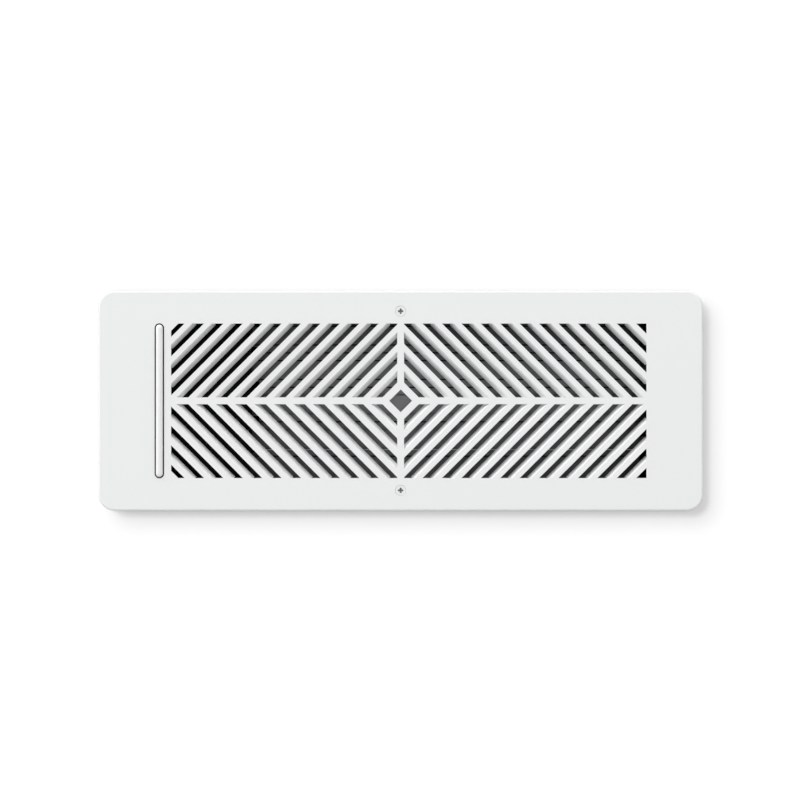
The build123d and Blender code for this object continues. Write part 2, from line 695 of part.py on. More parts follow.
def shaft_bore(shaft_radius):
    """A bore with the shaft's flat, cut from the current sketch."""
    with BuildSketch(mode=Mode.PRIVATE) as bore:
        Circle(shaft_radius + shaft_fit)
        with Locations((0, shaft_radius - shaft_flat + shaft_fit)):
            Rectangle(2 * shaft_radius, shaft_radius, align=(Align.CENTER, Align.MIN), mode=Mode.SUBTRACT)
    add(bore.sketch, mode=Mode.SUBTRACT)


# Toothed sector on the driven blade's shaft
with BuildPart() as drive_sector:
    sector_step = 360 / sector_teeth
    sector_start = mesh_angle - (sector_teeth_before + 0.5) * sector_step
    sector_stop = mesh_angle + (sector_teeth_after + 0.5) * sector_step
    sector_root = gear_module * (sector_teeth / 2 - gear_dedendum)
    with BuildSketch(end_plane(gear_left_x, drive_y, blade_axis_z)):
        Circle(sector_root)
        rays = [sector_start, (sector_start + sector_stop) / 2, sector_stop]
        far = gear_module * sector_teeth
        tips = [(far * cos(radians(ray)), far * sin(radians(ray))) for ray in rays]
        Polygon((0, 0), *tips, align=None, mode=Mode.INTERSECT)
        Circle(sector_hub_radius)
        for step in range(-sector_teeth_before, sector_teeth_after + 1):
            Polygon(*tooth(sector_teeth), rotation=mesh_angle + step * sector_step, align=None)
        shaft_bore(axle_radius)
    extrude(amount=gear_width)
drive_sector.part.label = "drive_sector"
export_step(drive_sector.part, "parts/drive_sector.step")

# Pinion on the gearmotor's shaft, a gap of its teeth on the line of centres
with BuildPart() as pinion:
    pinion_step = 360 / pinion_teeth
    with BuildSketch(end_plane(gear_left_x, pinion_y, pinion_z)):
        Circle(gear_module * (pinion_teeth / 2 - gear_dedendum))
        for step in range(pinion_teeth):
            Polygon(*tooth(pinion_teeth), rotation=mesh_angle + 180 + (step + 0.5) * pinion_step, align=None)
        shaft_bore(motor_shaft_radius)
    extrude(amount=gear_width)
pinion.part.label = "pinion"
export_step(pinion.part, "parts/pinion.step")

with BuildPart() as motor_shaft:
    with BuildSketch(end_plane(gearbox_right_x - motor_shaft_entry, pinion_y, pinion_z)):
        Circle(motor_shaft_radius)
    extrude(amount=motor_shaft_entry + gearbox_gear_gap + gear_width)
    with BuildSketch(end_plane(gear_left_x, pinion_y, pinion_z)):
        with Locations((0, motor_shaft_radius - shaft_flat)):
            Rectangle(2 * motor_shaft_radius, motor_shaft_radius, align=(Align.CENTER, Align.MIN))
    extrude(amount=gear_width, mode=Mode.SUBTRACT)
motor_shaft.part.label = "motor_shaft"
export_step(motor_shaft.part, "parts/motor_shaft.step")

# Gearbox and motor, on the chassis pedestal and rest
with BuildPart() as gearbox:
    with BuildSketch(end_plane(motor_right_x, pinion_y, pinion_z)):
        RectangleRounded(motor_width, motor_height, motor_edge_round)
    extrude(amount=gearbox_length)
    with BuildSketch(end_plane(gearbox_right_x, pinion_y, pinion_z)):
        Circle(motor_shaft_radius + running_clearance)
    extrude(amount=-motor_shaft_entry, mode=Mode.SUBTRACT)
gearbox.part.label = "gearbox"
export_step(gearbox.part, "parts/gearbox.step")

with BuildPart() as motor:
    with BuildSketch(end_plane(motor_right_x - motor_length, pinion_y, pinion_z)):
        Circle(motor_width / 2)
        Rectangle(motor_width, motor_height, mode=Mode.INTERSECT)
    extrude(amount=motor_length)
    with BuildSketch(end_plane(motor_right_x - motor_length, pinion_y, pinion_z)):
        Circle(motor_shaft_radius)
    extrude(amount=-motor_edge_round)
motor.part.label = "motor"
export_step(motor.part, "parts/motor.step")

# Bent strap over the gearbox, screwed to the pedestal
with BuildPart() as motor_bracket:
    strap_inner = motor_width + 2 * bracket_clearance
    strap_outer = strap_inner + 2 * bracket_thickness
    with BuildSketch(end_plane(bracket_x - bracket_width / 2, pinion_y, motor_rest_z)):
        Rectangle(strap_outer + 2 * bracket_foot, bracket_thickness, align=(Align.CENTER, Align.MIN))
        Rectangle(strap_outer, motor_height + bracket_thickness, align=(Align.CENTER, Align.MIN))
        Rectangle(strap_inner, motor_height, align=(Align.CENTER, Align.MIN), mode=Mode.SUBTRACT)
    extrude(amount=bracket_width)
    with Locations((bracket_x, pinion_y + bracket_screw_offset, motor_rest_z + bracket_thickness),
                   (bracket_x, pinion_y - bracket_screw_offset, motor_rest_z + bracket_thickness)):
        Hole(bracket_screw_radius + running_clearance, depth=bracket_thickness)
motor_bracket.part.label = "motor_bracket"
export_step(motor_bracket.part, "parts/motor_bracket.step")

with BuildPart() as bracket_screws:
    with Locations((bracket_x, pinion_y + bracket_screw_offset, motor_rest_z + bracket_thickness),
                   (bracket_x, pinion_y - bracket_screw_offset, motor_rest_z + bracket_thickness)):
        pan_screw(bracket_screw_radius, bracket_screw_length, bracket_screw_head_radius,
                  bracket_screw_head_height)
bracket_screws.part.label = "bracket_screws"
export_step(bracket_screws.part, "parts/bracket_screws.step")

# Two cells side by side, their terminals turned opposite ways
cell_left_x = -bay_half_length + cell_end_space
cell_right_x = cell_left_x + cell_length
for number, cell_y in enumerate(cells_y, start=1):
    nub_on_right = number == 1
    can_left_x = cell_left_x if nub_on_right else cell_left_x + cell_nub_height
    with BuildPart() as battery_cell:
        with BuildSketch(end_plane(can_left_x, cell_y, cell_z)):
            Circle(cell_radius)
        extrude(amount=cell_length - cell_nub_height)
        chamfer(battery_cell.edges().filter_by(GeomType.CIRCLE), cell_edge_chamfer)
        with BuildSketch(end_plane(cell_left_x, cell_y, cell_z)):
            Circle(cell_nub_radius)
        extrude(amount=cell_length if nub_on_right else cell_nub_height)
    battery_cell.part.label = f"battery_cell_{number}"
    export_step(battery_cell.part, f"parts/battery_cell_{number}.step")


def contact_leaf(inward, reach):
    """One bowed spring leaf on its plate, drawn from above at the current location."""
    half = contact_leaf_half
    inner_half = half - contact_thickness
    with BuildSketch(mode=Mode.PRIVATE) as leaf:
        with BuildLine():
            ThreePointArc((0, -half), (inward * reach, 0), (0, half))
            Line((0, half), (0, inner_half))
            ThreePointArc((0, inner_half), (inward * (reach - contact_thickness), 0), (0, -inner_half))
            Line((0, -inner_half), (0, -half))
        make_face()
        with Locations((inward * contact_thickness / 2, 0)):
            Rectangle(contact_thickness, 2 * contact_half_width)
    add(leaf.sketch)


# Contacts: a link that joins the cells on the left, and a separate tab for each on the right
left_wall_x = -bay_half_length
with BuildPart() as contact_link:
    with BuildSketch(Plane.XY.offset(cell_z - contact_half_height)):
        for cell_y in cells_y:
            with Locations((left_wall_x, cell_y)):
                contact_leaf(1, cell_end_space - contact_gap)
        with Locations((left_wall_x, (cells_y[0] + cells_y[1]) / 2)):
            Rectangle(contact_thickness, cells_y[1] - cells_y[0], align=(Align.MIN, Align.CENTER))
    extrude(amount=2 * contact_half_height)
contact_link.part.label = "contact_link"
export_step(contact_link.part, "parts/contact_link.step")

with BuildPart() as contact_tabs:
    with BuildSketch(Plane.XY.offset(cell_z - contact_half_height)):
        for cell_y in cells_y:
            with Locations((divider_left_x, cell_y)):
                contact_leaf(-1, divider_left_x - cell_right_x - contact_gap)
    extrude(amount=2 * contact_half_height)
contact_tabs.part.label = "contact_tabs"
export_step(contact_tabs.part, "parts/contact_tabs.step")

# Battery door, flush with the chassis's back, with saddles that carry the cells
door_bottom_y = -bay_half_width + door_clearance
with BuildPart() as battery_door:
    with BuildSketch(Plane.XY.offset(-chassis_depth)):
        with Locations((compartment_x, (door_top_y + door_bottom_y) / 2)):
            Rectangle(compartment_length - 2 * door_clearance, door_top_y - door_bottom_y)
    extrude(amount=door_thickness)
    for saddle_x in (cell_left_x + door_saddle_inset, cell_right_x - door_saddle_inset):
        with BuildSketch(end_plane(saddle_x - door_saddle_length / 2, 0, floor_z)):
            with Locations(((cell_opening_top_y + cell_opening_bottom_y) / 2, 0)):
                Rectangle(cell_opening_top_y - cell_opening_bottom_y - 2 * door_clearance, door_saddle_height,
                          align=(Align.CENTER, Align.MIN))
            with Locations(*[(cell_y, cell_z - floor_z) for cell_y in cells_y]):
                Circle(cell_radius + cell_clearance, mode=Mode.SUBTRACT)
        extrude(amount=door_saddle_length)
    with Locations(Location((compartment_x, door_screw_y, -chassis_depth), (180, 0, 0))):
        CounterSinkHole(door_screw_radius + countersink_clearance,
                        door_screw_head_radius + countersink_clearance,
                        depth=door_thickness, counter_sink_angle=90)
battery_door.part.label = "battery_door"
export_step(battery_door.part, "parts/battery_door.step")

with BuildPart() as battery_door_screw:
    with Locations(Location((compartment_x, door_screw_y, -chassis_depth + screw_sunk), (180, 0, 0))):
        countersunk_screw(door_screw_radius, door_screw_length, door_screw_head_radius)
battery_door_screw.part.label = "battery_door_screw"
export_step(battery_door_screw.part, "parts/battery_door_screw.step")

# Circuit board under the cover, with its parts and screws
with BuildPart() as circuit_board:
    with BuildSketch(Plane.XY.offset(board_top_z - board_thickness)):
        with Locations((compartment_x, board_y)):
            Rectangle(board_length, board_width)
            with GridLocations(board_post_span_x, board_post_span_y, 2, 2):
                Circle(board_screw_radius + running_clearance, mode=Mode.SUBTRACT)
    extrude(amount=board_thickness)
circuit_board.part.label = "circuit_board"
export_step(circuit_board.part, "parts/circuit_board.step")

with BuildPart() as board_screws:
    board_back_z = board_top_z - board_thickness
    screw_places = [Location((compartment_x + side * board_post_span_x / 2,
                              board_y + end * board_post_span_y / 2, board_back_z), (180, 0, 0))
                    for side in (-1, 1) for end in (-1, 1)]
    with Locations(*screw_places):
        pan_screw(board_screw_radius, board_screw_length, board_screw_head_radius, board_screw_head_height)
board_screws.part.label = "board_screws"
export_step(board_screws.part, "parts/board_screws.step")

with BuildPart() as radio_module:
    with BuildSketch(Plane.XY.offset(board_top_z)):
        with Locations((compartment_x, board_y)):
            RectangleRounded(radio_length, radio_width, radio_corner_radius)
    extrude(amount=radio_height)
radio_module.part.label = "radio_module"
export_step(radio_module.part, "parts/radio_module.step")

with BuildPart() as capacitor:
    with Locations((compartment_x - capacitor_offset, board_y, board_back_z)):
        Cylinder(capacitor_radius, capacitor_height, align=below)
capacitor.part.label = "capacitor"
export_step(capacitor.part, "parts/capacitor.step")

# The connector hangs into the valley between the two cells
with BuildPart() as motor_connector:
    with Locations((compartment_x + connector_offset, (cells_y[0] + cells_y[1]) / 2, board_back_z)):
        Box(connector_length, connector_width, connector_height, align=below)
motor_connector.part.label = "motor_connector"
export_step(motor_connector.part, "parts/motor_connector.step")
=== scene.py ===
import json
import math

import bmesh
import bpy
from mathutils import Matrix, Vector


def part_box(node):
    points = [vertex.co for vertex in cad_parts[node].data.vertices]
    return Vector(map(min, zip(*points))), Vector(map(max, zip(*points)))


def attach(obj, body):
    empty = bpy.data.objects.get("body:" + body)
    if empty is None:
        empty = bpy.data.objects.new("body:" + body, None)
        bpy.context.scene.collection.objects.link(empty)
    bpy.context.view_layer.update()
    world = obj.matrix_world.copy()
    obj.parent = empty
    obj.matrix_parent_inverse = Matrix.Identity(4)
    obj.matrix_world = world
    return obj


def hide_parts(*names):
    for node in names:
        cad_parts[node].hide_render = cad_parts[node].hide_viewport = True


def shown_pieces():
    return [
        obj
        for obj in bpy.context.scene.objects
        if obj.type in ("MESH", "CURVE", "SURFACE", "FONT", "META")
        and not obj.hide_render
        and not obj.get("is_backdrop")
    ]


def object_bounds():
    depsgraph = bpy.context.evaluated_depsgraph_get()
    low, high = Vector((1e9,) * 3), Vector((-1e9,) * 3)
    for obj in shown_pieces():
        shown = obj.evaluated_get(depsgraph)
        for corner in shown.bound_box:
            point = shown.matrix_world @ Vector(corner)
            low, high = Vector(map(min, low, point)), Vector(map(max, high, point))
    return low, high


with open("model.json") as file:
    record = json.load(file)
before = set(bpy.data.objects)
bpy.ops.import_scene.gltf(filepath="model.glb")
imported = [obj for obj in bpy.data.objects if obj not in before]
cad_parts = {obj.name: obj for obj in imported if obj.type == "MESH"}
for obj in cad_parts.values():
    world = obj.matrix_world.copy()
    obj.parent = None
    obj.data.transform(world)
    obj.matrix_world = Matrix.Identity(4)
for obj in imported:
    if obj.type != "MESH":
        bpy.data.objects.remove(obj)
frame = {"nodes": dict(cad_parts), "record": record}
cad_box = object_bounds()

# Chassis: the box that drops into the duct, with the flange, the blade bay and the closed compartment.
# One injection moulding in black ABS from a spark-eroded tool, so it is matt with a fine even grain.
mm = 0.001


def linear(hex_colour):
    """An sRGB hex colour as linear RGBA."""
    shares = [int(hex_colour[place:place + 2], 16) / 255 for place in (1, 3, 5)]
    return [c / 12.92 if c <= 0.04045 else ((c + 0.055) / 1.055) ** 2.4 for c in shares] + [1.0]


def new_material(name, surface):
    """A material whose shader has these constant values; gives the material and the shader."""
    material = bpy.data.materials.new(name)
    material.use_nodes = True
    shader = material.node_tree.nodes["Principled BSDF"]
    for socket, value in surface.items():
        shader.inputs[socket].default_value = value
    return material, shader


def add_node(material, kind, settings, inputs):
    """Adds one node with its settings, and sets or links its inputs."""
    tree = material.node_tree
    node = tree.nodes.new("ShaderNode" + kind)
    for name, value in settings.items():
        setattr(node, name, value)
    for socket, value in inputs.items():
        if isinstance(value, bpy.types.NodeSocket):
            tree.links.new(value, node.inputs[socket])
        else:
            node.inputs[socket].default_value = value
    return node


def link(material, output, shader, socket):
    """Links a node's output to a socket of the shader."""
    material.node_tree.links.new(output, shader.inputs[socket])


def softened(node, radius, body):
    """A copy of a CAD node with its outside edges rounded off, in the node's place."""
    weld_distance = 0.001 * mm
    flat_angle, sharp_angle = math.radians(0.5), math.radians(40)
    mesh = frame["nodes"][node].data.copy()
    form = bmesh.new()
    form.from_mesh(mesh)
    bmesh.ops.remove_doubles(form, verts=form.verts, dist=weld_distance)
    bmesh.ops.dissolve_limit(form, angle_limit=flat_angle, verts=form.verts, edges=form.edges)
    corners = [edge for edge in form.edges if len(edge.link_faces) == 2 and edge.is_convex
               and edge.calc_face_angle() > sharp_angle]
    bmesh.ops.bevel(form, geom=corners, offset=radius, segments=2, profile=0.5, affect="EDGES",
                    clamp_overlap=True, loop_slide=True)
    form.to_mesh(mesh)
    form.free()
    mesh.shade_smooth()
    mesh.set_sharp_from_angle(angle=sharp_angle)
    piece = bpy.data.objects.new(node + "_softened", mesh)
    bpy.context.scene.collection.objects.link(piece)
    piece.modifiers.new("flat_faces", "WEIGHTED_NORMAL").keep_sharp = True
    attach(piece, body)
    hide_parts(node)
    return piece


def dress(material, *objects):
    """Gives objects this one material."""
    for thing in objects:
        thing.data.materials.clear()
        thing.data.materials.append(material)


abs_black, shader = new_material("abs_black_spark_eroded", {"Roughness": 0.62, "IOR": 1.53,
                                                            "Specular IOR Level": 0.35})
chassis_edge = 0.3 * mm
spark_pit = 0.45 * mm            # about twice the real pits, so that they show
pit_depth = 0.03 * mm
place = add_node(abs_black, "TexCoord", {}, {})
pits = add_node(abs_black, "TexNoise", {}, {"Vector": place.outputs["Object"], "Scale": 1 / spark_pit,
                                            "Detail": 3})
tint = add_node(abs_black, "ValToRGB", {}, {"Fac": pits.outputs["Fac"]})
tint.color_ramp.elements[0].color = linear("#141516")
tint.color_ramp.elements[1].color = linear("#1E1F21")
link(abs_black, tint.outputs["Color"], shader, "Base Color")
relief = add_node(abs_black, "Bump", {}, {"Height": pits.outputs["Fac"], "Strength": 0.6,
                                          "Distance": pit_depth})
link(abs_black, relief.outputs["Normal"], shader, "Normal")
chassis = softened("chassis", chassis_edge, "housing")
dress(abs_black, chassis)

# Louvre blades: four shiplapped strips with their axle tube and crank, which close the bay.
# Injection moulded in mid-grey ABS with a fine etched face; melt flow leaves faint streaks along them.
abs_grey, shader = new_material("abs_grey_etched", {"IOR": 1.53, "Specular IOR Level": 0.4})
blade_edge = 0.08 * mm
etch_grain = 0.5 * mm            # about three times the real etch, so that it shows
etch_depth = 0.02 * mm
streak_width = 2.5 * mm
streak_stretch = 25              # how many times as long as it is wide
place = add_node(abs_grey, "TexCoord", {}, {})
along = add_node(abs_grey, "Mapping", {}, {"Vector": place.outputs["Object"],
                                           "Scale": (1 / streak_stretch, 1, 1)})
streaks = add_node(abs_grey, "TexNoise", {}, {"Vector": along.outputs["Vector"], "Scale": 1 / streak_width,
                                              "Detail": 2})
grain = add_node(abs_grey, "TexNoise", {}, {"Vector": place.outputs["Object"], "Scale": 1 / etch_grain,
                                            "Detail": 3})
streak_tone = add_node(abs_grey, "ValToRGB", {}, {"Fac": streaks.outputs["Fac"]})
streak_tone.color_ramp.elements[0].color = linear("#F1F1F1")
streak_tone.color_ramp.elements[1].color = linear("#FFFFFF")


def even(share):
    """A linear share as an even grey, for colours that stand for factors."""
    return share, share, share, 1


# Painted light: the blades are painted paler below the hole at the grille's centre, as a pool of light that fades
# out from there.
# Painted shade: the ends of the blades, near the walls of the bay, are painted darker.
painted_light_tones = ((0, "#989899"), (6, "#949596"), (17, "#727474"), (50, "#676868"),
              (130, "#5F6060"))  # mm from the centre
painted_end_shade = ((-87, 0.5), (-70, 1.0), (110, 1.0), (142, 0.4))     # X in mm, and the share of the tone that is left
painted_light_reach = painted_light_tones[-1][0]
left_end, right_end = painted_end_shade[0][0], painted_end_shade[-1][0]
split = add_node(abs_grey, "SeparateXYZ", {}, {"Vector": place.outputs["Object"]})
level_place = add_node(abs_grey, "CombineXYZ", {}, {"X": split.outputs["X"], "Y": split.outputs["Y"]})
distance = add_node(abs_grey, "VectorMath", {"operation": "LENGTH"}, {0: level_place.outputs["Vector"]})
painted_light_share = add_node(abs_grey, "MapRange", {}, {"Value": distance.outputs["Value"], "From Max": painted_light_reach * mm})
painted_light_pool = add_node(abs_grey, "ValToRGB", {}, {"Fac": painted_light_share.outputs["Result"]})
painted_light_pool.color_ramp.elements[0].color = linear(painted_light_tones[0][1])
painted_light_pool.color_ramp.elements[1].color = linear(painted_light_tones[-1][1])
for reach, colour in painted_light_tones[1:-1]:
    painted_light_pool.color_ramp.elements.new(reach / painted_light_reach).color = linear(colour)
lengthwise = add_node(abs_grey, "MapRange", {}, {"Value": split.outputs["X"], "From Min": left_end * mm,
                                                 "From Max": right_end * mm})
end_shade = add_node(abs_grey, "ValToRGB", {}, {"Fac": lengthwise.outputs["Result"]})
end_shade.color_ramp.elements[0].color = even(painted_end_shade[0][1])
end_shade.color_ramp.elements[1].color = even(painted_end_shade[-1][1])
for x, unshaded_share in painted_end_shade[1:-1]:
    end_shade.color_ramp.elements.new((x - left_end) / (right_end - left_end)).color = even(unshaded_share)
light_and_end_shade = add_node(abs_grey, "MixRGB", {"blend_type": "MULTIPLY"}, {"Fac": 1, "Color1": painted_light_pool.outputs["Color"],
                                                                  "Color2": end_shade.outputs["Color"]})
tint = add_node(abs_grey, "MixRGB", {"blend_type": "MULTIPLY"}, {"Fac": 1, "Color1": light_and_end_shade.outputs["Color"],
                                                                 "Color2": streak_tone.outputs["Color"]})
# Painted shade: the joints between the blades are painted black, and so are the grooves of the two upper blades,
# so that the closed blades read as separate strips. The grooves of the lower two are left unpainted.
bare, groove, joint = 0.0, 0.5, 1.0
strip_edges = ((5.1, groove), (5.9, bare), (9.6, joint), (10.5, bare), (14.2, groove),
               (15.1, bare))     # mm above an axis
shade_layer_height = 0.1 * mm            # of the middle of the painted shade layer above an axis
shade_layer_reach = 1.03 * mm            # up and down from there, as far as the floors of the grooves
back_facing = -0.5               # the Z of a normal, below which a face is at the back and has no painted shade
axes = {hinge["name"]: Vector(hinge["pos_m"]) for hinge in frame["record"]["behaviour"]["joints"]}
blade_pitch = axes["louver_1"].y - axes["louver_2"].y
above = add_node(abs_grey, "Math", {"operation": "SUBTRACT"}, {0: split.outputs["Y"],
                                                               1: axes["louver_4"].y - blade_pitch})
pitches = add_node(abs_grey, "Math", {"operation": "DIVIDE"}, {0: above.outputs["Value"], 1: blade_pitch})
share = add_node(abs_grey, "Math", {"operation": "FRACT"}, {0: pitches.outputs["Value"]})
strips = add_node(abs_grey, "ValToRGB", {}, {"Fac": share.outputs["Value"]})
strips.color_ramp.interpolation = "CONSTANT"
strips.color_ramp.elements.remove(strips.color_ramp.elements[1])
strips.color_ramp.elements[0].color = even(bare)
for edge, kind in strip_edges:
    strips.color_ramp.elements.new(edge * mm / blade_pitch).color = even(kind)
upper = add_node(abs_grey, "Math", {"operation": "GREATER_THAN"}, {0: split.outputs["Y"],
                                                                  1: axes["louver_3"].y + blade_pitch / 2})
least = add_node(abs_grey, "MapRange", {}, {"Value": upper.outputs["Value"], "To Min": (groove + joint) / 2,
                                            "To Max": (bare + groove) / 2})
shade_marked = add_node(abs_grey, "Math", {"operation": "GREATER_THAN"}, {0: strips.outputs["Color"],
                                                                   1: least.outputs["Result"]})
low = add_node(abs_grey, "Math", {"operation": "COMPARE"}, {0: split.outputs["Z"],
                                                           1: axes["louver_1"].z + shade_layer_height, 2: shade_layer_reach})
facing = add_node(abs_grey, "SeparateXYZ", {}, {"Vector": place.outputs["Normal"]})
front = add_node(abs_grey, "Math", {"operation": "GREATER_THAN"}, {0: facing.outputs["Z"], 1: back_facing})
low_front = add_node(abs_grey, "Math", {"operation": "MULTIPLY"}, {0: low.outputs["Value"],
                                                                  1: front.outputs["Value"]})
groove_shade = add_node(abs_grey, "Math", {"operation": "MULTIPLY"}, {0: shade_marked.outputs["Value"],
                                                            1: low_front.outputs["Value"]})
# Painted highlight: a pale line is painted along the edge below the lowest blade's lower groove.
highlight_drop = 6.18 * mm          # from the axis down to the middle of the edge
highlight_reach = 0.25 * mm
highlight_band = add_node(abs_grey, "Math", {"operation": "COMPARE"}, {0: split.outputs["Y"],
                                                              1: axes["louver_4"].y - highlight_drop,
                                                              2: highlight_reach})
highlight_front = add_node(abs_grey, "Math", {"operation": "MULTIPLY"}, {0: highlight_band.outputs["Value"],
                                                                     1: front.outputs["Value"]})
highlighted = add_node(abs_grey, "MixRGB", {}, {"Fac": highlight_front.outputs["Value"], "Color1": tint.outputs["Color"],
                                         "Color2": linear("#C0C1C1")})
groove_shaded = add_node(abs_grey, "MixRGB", {}, {"Fac": groove_shade.outputs["Value"], "Color1": highlighted.outputs["Color"],
                                            "Color2": linear("#050505")})
link(abs_grey, groove_shaded.outputs["Color"], shader, "Base Color")
dull = add_node(abs_grey, "MapRange", {}, {"Value": grain.outputs["Fac"], "To Min": 0.5, "To Max": 0.68})
link(abs_grey, dull.outputs["Result"], shader, "Roughness")
relief = add_node(abs_grey, "Bump", {}, {"Height": grain.outputs["Fac"], "Strength": 0.5,
                                         "Distance": etch_depth})
link(abs_grey, relief.outputs["Normal"], shader, "Normal")
for number in (1, 2, 3, 4):
    blade = softened(f"louver_blade_{number}", blade_edge, f"blade_{number}")
    dress(abs_grey, blade)

# Sill: the fixed strip that the lowest blade closes against, bonded to the bay's lower wall.
# Cut from the same etched grey ABS as the blades, with the same edges.
sill = softened("blade_sill", blade_edge, "housing")
dress(abs_grey, sill)

# Bearing strip: the bar that carries the blades' right-hand axles, screwed to the inside of the bay.
# Moulded in the chassis's black ABS.
strip_edge = 0.25 * mm
bearing_strip = softened("bearing_strip", strip_edge, "housing")
dress(abs_black, bearing_strip)

# Toothed sector and pinion: the last gear pair, on the second blade's shaft and on the motor's.
# Natural acetal, moulded, waxy and slightly translucent.
acetal, shader = new_material("acetal_natural_moulded", {"IOR": 1.48, "Subsurface Weight": 0.15,
                                                         "Subsurface Radius": (1.0, 0.95, 0.85),
                                                         "Subsurface Scale": 0.8 * mm})
wax_cloud = 3 * mm
place = add_node(acetal, "TexCoord", {}, {})
clouds = add_node(acetal, "TexNoise", {}, {"Vector": place.outputs["Object"], "Scale": 1 / wax_cloud,
                                           "Detail": 4})
tint = add_node(acetal, "ValToRGB", {}, {"Fac": clouds.outputs["Fac"]})
tint.color_ramp.elements[0].color = linear("#DEDDD4")
tint.color_ramp.elements[1].color = linear("#EBEAE3")
link(acetal, tint.outputs["Color"], shader, "Base Color")
dull = add_node(acetal, "MapRange", {}, {"Value": clouds.outputs["Fac"], "To Min": 0.34, "To Max": 0.48})
link(acetal, dull.outputs["Result"], shader, "Roughness")
dress(acetal, frame["nodes"]["drive_sector"], frame["nodes"]["pinion"])

# Tie bar: the link on the blades' cranks that turns them all with the second one.
# Moulded in the chassis's black ABS, so that it doesn't show behind the right end of the grille.
tie_bar_edge = 0.2 * mm
tie_bar = softened("tie_bar", tie_bar_edge, "tie_bar")
dress(abs_black, tie_bar)

# Inner screws, motor bracket, motor shaft, motor can, radio shield and cell contacts.
# Steel, zinc plated: a bright grey with faint cloudy patches.
zinc_steel, shader = new_material("steel_zinc_plated", {"Metallic": 1.0})
zinc_cloud = 1.2 * mm
place = add_node(zinc_steel, "TexCoord", {}, {})
clouds = add_node(zinc_steel, "TexNoise", {}, {"Vector": place.outputs["Object"], "Scale": 1 / zinc_cloud,
                                               "Detail": 5})
tint = add_node(zinc_steel, "ValToRGB", {}, {"Fac": clouds.outputs["Fac"]})
tint.color_ramp.elements[0].color = linear("#A9ABAA")
tint.color_ramp.elements[1].color = linear("#C9CAC8")
link(zinc_steel, tint.outputs["Color"], shader, "Base Color")
dull = add_node(zinc_steel, "MapRange", {}, {"Value": clouds.outputs["Fac"], "To Min": 0.24, "To Max": 0.42})
link(zinc_steel, dull.outputs["Result"], shader, "Roughness")
for name in ("bearing_strip_screws", "bracket_screws", "motor_bracket", "motor_shaft", "motor",
             "radio_module", "contact_link", "contact_tabs", "board_screws"):
    dress(zinc_steel, frame["nodes"][name])

# Cover screws and battery door screw: the ones that a user could see.
# Steel, black oxide: dark, with a faint oily sheen.
black_oxide, shader = new_material("steel_black_oxide", {"Metallic": 1.0})
oxide_patch = 0.8 * mm
place = add_node(black_oxide, "TexCoord", {}, {})
patches = add_node(black_oxide, "TexNoise", {}, {"Vector": place.outputs["Object"], "Scale": 1 / oxide_patch,
                                                 "Detail": 4})
tint = add_node(black_oxide, "ValToRGB", {}, {"Fac": patches.outputs["Fac"]})
tint.color_ramp.elements[0].color = linear("#0C0C0D")
tint.color_ramp.elements[1].color = linear("#19191A")
link(black_oxide, tint.outputs["Color"], shader, "Base Color")
dull = add_node(black_oxide, "MapRange", {}, {"Value": patches.outputs["Fac"], "To Min": 0.45,
                                              "To Max": 0.65})
link(black_oxide, dull.outputs["Result"], shader, "Roughness")
dress(black_oxide, frame["nodes"]["cover_screws"], frame["nodes"]["battery_door_screw"])

# Gearbox: the small spur train between motor and pinion.
# Brass plates, milled, with the cutter's fine lines across them.
brass, shader = new_material("brass_milled", {"Metallic": 1.0})
cutter_line = 0.3 * mm
wave_width = 0.3                 # of one band of the wave pattern at a scale of 1
place = add_node(brass, "TexCoord", {}, {})
lines = add_node(brass, "TexWave", {"bands_direction": "Y"}, {"Vector": place.outputs["Object"],
                                                              "Scale": wave_width / cutter_line,
                                                              "Distortion": 1.5, "Detail": 2})
tint = add_node(brass, "ValToRGB", {}, {"Fac": lines.outputs["Fac"]})
tint.color_ramp.elements[0].color = linear("#B8934A")
tint.color_ramp.elements[1].color = linear("#D2B06A")
link(brass, tint.outputs["Color"], shader, "Base Color")
dull = add_node(brass, "MapRange", {}, {"Value": lines.outputs["Fac"], "To Min": 0.22, "To Max": 0.36})
link(brass, dull.outputs["Result"], shader, "Roughness")
dress(brass, frame["nodes"]["gearbox"])

# Battery cells and capacitor: steel or aluminium cans in a plain printed film sleeve.
# Shrunk film, dark grey, with a broad copper-coloured band at one end of a cell.
film, shader = new_material("pvc_film_shrunk", {"Roughness": 0.3, "IOR": 1.54})
film_ripple = 4 * mm
ripple_depth = 0.05 * mm
band_start = 65 * mm             # from the plate's left edge
place = add_node(film, "TexCoord", {}, {})
split = add_node(film, "SeparateXYZ", {}, {"Vector": place.outputs["Object"]})
banded = add_node(film, "Math", {"operation": "GREATER_THAN"}, {0: split.outputs["X"],
                                                               1: cad_box[0].x + band_start})
tint = add_node(film, "ValToRGB", {}, {"Fac": banded.outputs["Value"]})
tint.color_ramp.elements[0].color = linear("#3A3C40")
tint.color_ramp.elements[1].color = linear("#A8703C")
link(film, tint.outputs["Color"], shader, "Base Color")
ripple = add_node(film, "TexNoise", {}, {"Vector": place.outputs["Object"], "Scale": 1 / film_ripple,
                                         "Detail": 2})
relief = add_node(film, "Bump", {}, {"Height": ripple.outputs["Fac"], "Strength": 0.3,
                                     "Distance": ripple_depth})
link(film, relief.outputs["Normal"], shader, "Normal")
for name in ("battery_cell_1", "battery_cell_2", "capacitor"):
    dress(film, frame["nodes"][name])

# Battery door: the screwed lid in the back of the compartment.
# Moulded in the chassis's black ABS, with the same edges.
battery_door = softened("battery_door", chassis_edge, "housing")
dress(abs_black, battery_door)

